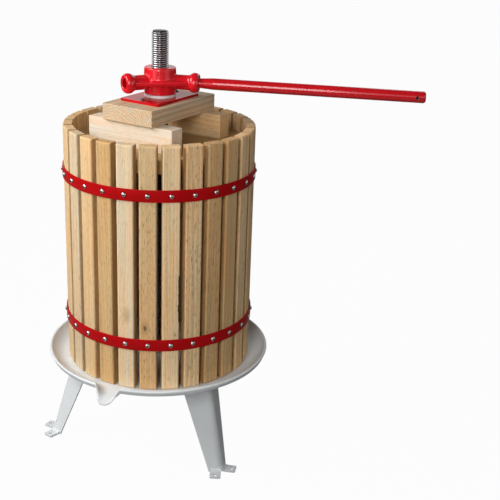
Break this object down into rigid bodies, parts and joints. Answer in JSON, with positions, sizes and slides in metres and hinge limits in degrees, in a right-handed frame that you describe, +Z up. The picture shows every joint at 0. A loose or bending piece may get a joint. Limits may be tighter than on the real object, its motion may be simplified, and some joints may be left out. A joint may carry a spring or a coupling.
{
  "type": "fruit press",
  "caption": "Hand screw fruit press: slatted wooden basket with steel bands, pressing blocks, threaded spindle, V-shaped socket nut with lever, spouted tray on folded legs.",
  "frame": {"origin": "on the ground, on the spindle's axis", "axes": "+Z up along the spindle, -Y towards the spout, +X to the right of someone facing the spout"},
  "size_m": [0.557, 0.3817, 0.6591],
  "materials": {
    "stave_wood": "planed, bare",
    "press_wood": "sawn, bare",
    "red_paint": "gloss",
    "tray_enamel": "satin",
    "spindle_steel": "rolled thread",
    "white_nylon": "turned",
    "zinc_steel": "zinc plated"
  },
  "bodies": {
    "frame": {"tray": "tray_enamel", "leg_right": "tray_enamel", "leg_rear": "tray_enamel", "leg_left": "tray_enamel", "leg_bolts": "zinc_steel", "leg_nuts": "zinc_steel", "support_disc": "zinc_steel", "spindle_washer_lower": "zinc_steel", "spindle_washer_upper": "zinc_steel", "spindle_nut_lower": "zinc_steel", "spindle_nut_upper": "zinc_steel", "spindle": "spindle_steel"},
    "basket": {"stave_01": "stave_wood", "stave_02": "stave_wood", "stave_03": "stave_wood", "stave_04": "stave_wood", "stave_05": "stave_wood", "stave_06": "stave_wood", "stave_07": "stave_wood", "stave_08": "stave_wood", "stave_09": "stave_wood", "stave_10": "stave_wood", "stave_11": "stave_wood", "stave_12": "stave_wood", "stave_13": "stave_wood", "stave_14": "stave_wood", "stave_15": "stave_wood", "stave_16": "stave_wood", "stave_17": "stave_wood", "stave_18": "stave_wood", "stave_19": "stave_wood", "stave_20": "stave_wood", "stave_21": "stave_wood", "stave_22": "stave_wood", "stave_23": "stave_wood", "stave_24": "stave_wood", "stave_25": "stave_wood", "stave_26": "stave_wood", "stave_27": "stave_wood", "lower_band": "red_paint", "lower_band_screws": "zinc_steel", "upper_band": "red_paint", "upper_band_screws": "zinc_steel"},
    "pressing_stack": {"press_board_left": "press_wood", "press_board_right": "press_wood", "lower_block_front": "press_wood", "lower_block_rear": "press_wood", "top_block": "press_wood", "pressure_plate": "red_paint", "plate_screws": "zinc_steel", "thrust_washer": "white_nylon"},
    "press_nut": {"press_nut": "red_paint"},
    "lever": {"lever": "red_paint"}
  },
  "joints": [
    {"name": "press_travel", "type": "slide", "parent": "frame", "child": "pressing_stack", "axis": [0, 0, -1], "range_m": [-0.0477, 0.03185]},
    {"name": "nut_turn", "type": "hinge", "parent": "pressing_stack", "child": "press_nut", "pos_m": [0, 0, 0.5849], "axis": [0, 0, -1], "range_deg": [-5400, 3600]},
    {"name": "lever_slide", "type": "slide", "parent": "press_nut", "child": "lever", "axis": [0.9728, 0.2317, 0], "range_m": [0, 0.03]},
    {"name": "basket_lift", "type": "slide", "parent": "frame", "child": "basket", "axis": [0, 0, 1], "range_m": [0, 0.015]}
  ],
  "couplings": [
    {"joint": "press_travel", "follows": "nut_turn", "m_per_rad": 0.00050532}
  ]
}
